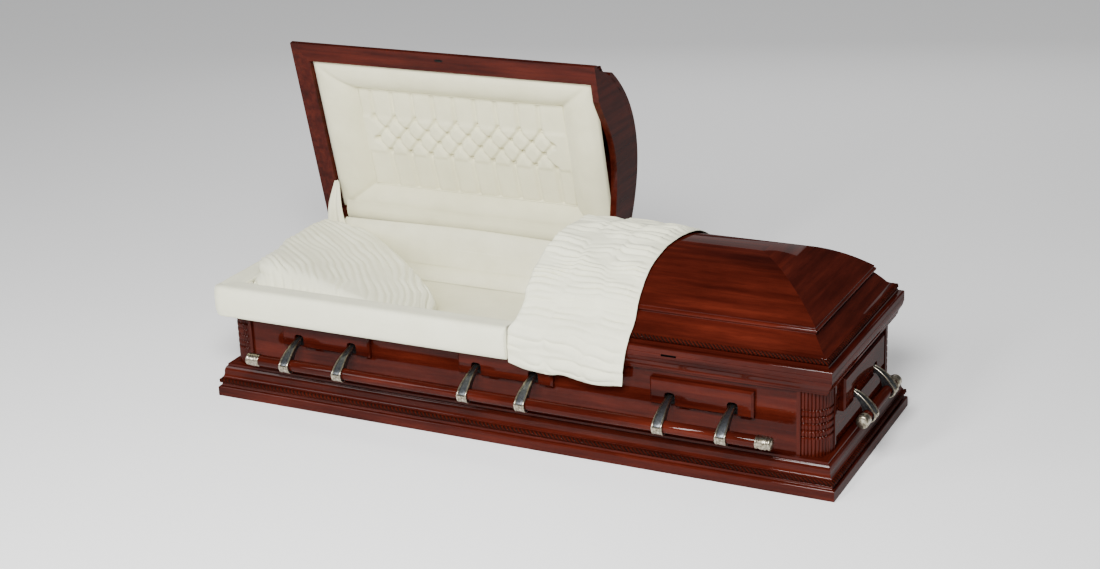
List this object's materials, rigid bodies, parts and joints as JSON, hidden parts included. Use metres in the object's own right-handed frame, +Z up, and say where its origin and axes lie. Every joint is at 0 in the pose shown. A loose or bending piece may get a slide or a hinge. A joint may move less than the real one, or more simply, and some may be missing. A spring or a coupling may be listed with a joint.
{
  "type": "funeral casket",
  "caption": "Half-couch wooden funeral casket with hinged lids, swing-bar handles, tufted lining, pillow and a throw over the foot lid.",
  "frame": {"origin": "centre of the underside of the base", "axes": "+X towards the foot end along the length, +Z up, -Y towards the side that opens"},
  "size_m": [2.2068, 0.9549, 1.0664],
  "materials": {
    "cherry": "red-brown cherry stain under a deep gloss lacquer",
    "board": "bare plywood",
    "crepe": "warm ivory crepe, tufted and shirred",
    "throw_cloth": "off-white crepe",
    "antique_metal": "antique brass, bright on its edges and dark in its recesses",
    "black_steel": "blackened"
  },
  "bodies": {
    "root": {"base_moulding": "cherry", "floor_board": "board", "front_panel": "cherry", "back_panel": "cherry", "head_panel": "cherry", "foot_panel": "cherry", "head_front_post": "cherry", "head_back_post": "cherry", "foot_front_post": "cherry", "foot_back_post": "cherry", "top_rail": "cherry", "front_1_plate": "cherry", "front_2_plate": "cherry", "front_3_plate": "cherry", "back_1_plate": "cherry", "back_2_plate": "cherry", "back_3_plate": "cherry", "head_plate": "cherry", "foot_plate": "cherry", "front_1_rod": "black_steel", "front_2_rod": "black_steel", "front_3_rod": "black_steel", "back_1_rod": "black_steel", "back_2_rod": "black_steel", "back_3_rod": "black_steel", "head_rod": "black_steel", "foot_rod": "black_steel", "head_lid_hinge": "antique_metal", "foot_lid_hinge": "antique_metal", "body_lining": "crepe", "mattress": "crepe", "pillow": "crepe", "rim_band": "throw_cloth"},
    "head_lid": {"head_lid_shell": "cherry", "head_lid_header": "cherry", "head_lid_lining": "crepe"},
    "foot_lid": {"foot_lid_shell": "cherry", "foot_lid_header": "cherry", "foot_lid_lining": "crepe", "throw": "throw_cloth"},
    "front_handle": {"front_bar": "cherry", "front_arm_1": "antique_metal", "front_arm_2": "antique_metal", "front_arm_3": "antique_metal", "front_arm_4": "antique_metal", "front_arm_5": "antique_metal", "front_arm_6": "antique_metal"},
    "back_handle": {"back_bar": "cherry", "back_arm_1": "antique_metal", "back_arm_2": "antique_metal", "back_arm_3": "antique_metal", "back_arm_4": "antique_metal", "back_arm_5": "antique_metal", "back_arm_6": "antique_metal"},
    "head_handle": {"head_bar": "cherry", "head_arm_1": "antique_metal", "head_arm_2": "antique_metal"},
    "foot_handle": {"foot_bar": "cherry", "foot_arm_1": "antique_metal", "foot_arm_2": "antique_metal"}
  },
  "joints": [
    {"name": "head_lid_hinge", "type": "hinge", "parent": "root", "child": "head_lid", "pos_m": [-0.483, 0.3555, 0.3746], "axis": [1, 0, 0], "range_deg": [0, 77.5], "deforming": ["pillow", "rim_band"]},
    {"name": "foot_lid_hinge", "type": "hinge", "parent": "root", "child": "foot_lid", "pos_m": [0.57, 0.3555, 0.3746], "axis": [-1, 0, 0], "range_deg": [0, 77.5]},
    {"name": "front_handle_swing", "type": "hinge", "parent": "root", "child": "front_handle", "pos_m": [0, -0.3285, 0.232], "axis": [-1, 0, 0], "range_deg": [0, 45]},
    {"name": "back_handle_swing", "type": "hinge", "parent": "root", "child": "back_handle", "pos_m": [0, 0.3285, 0.232], "axis": [1, 0, 0], "range_deg": [0, 45]},
    {"name": "head_handle_swing", "type": "hinge", "parent": "root", "child": "head_handle", "pos_m": [-1.0285, 0, 0.232], "axis": [0, 1, 0], "range_deg": [0, 45]},
    {"name": "foot_handle_swing", "type": "hinge", "parent": "root", "child": "foot_handle", "pos_m": [1.0285, 0, 0.232], "axis": [0, -1, 0], "range_deg": [0, 45]}
  ]
}
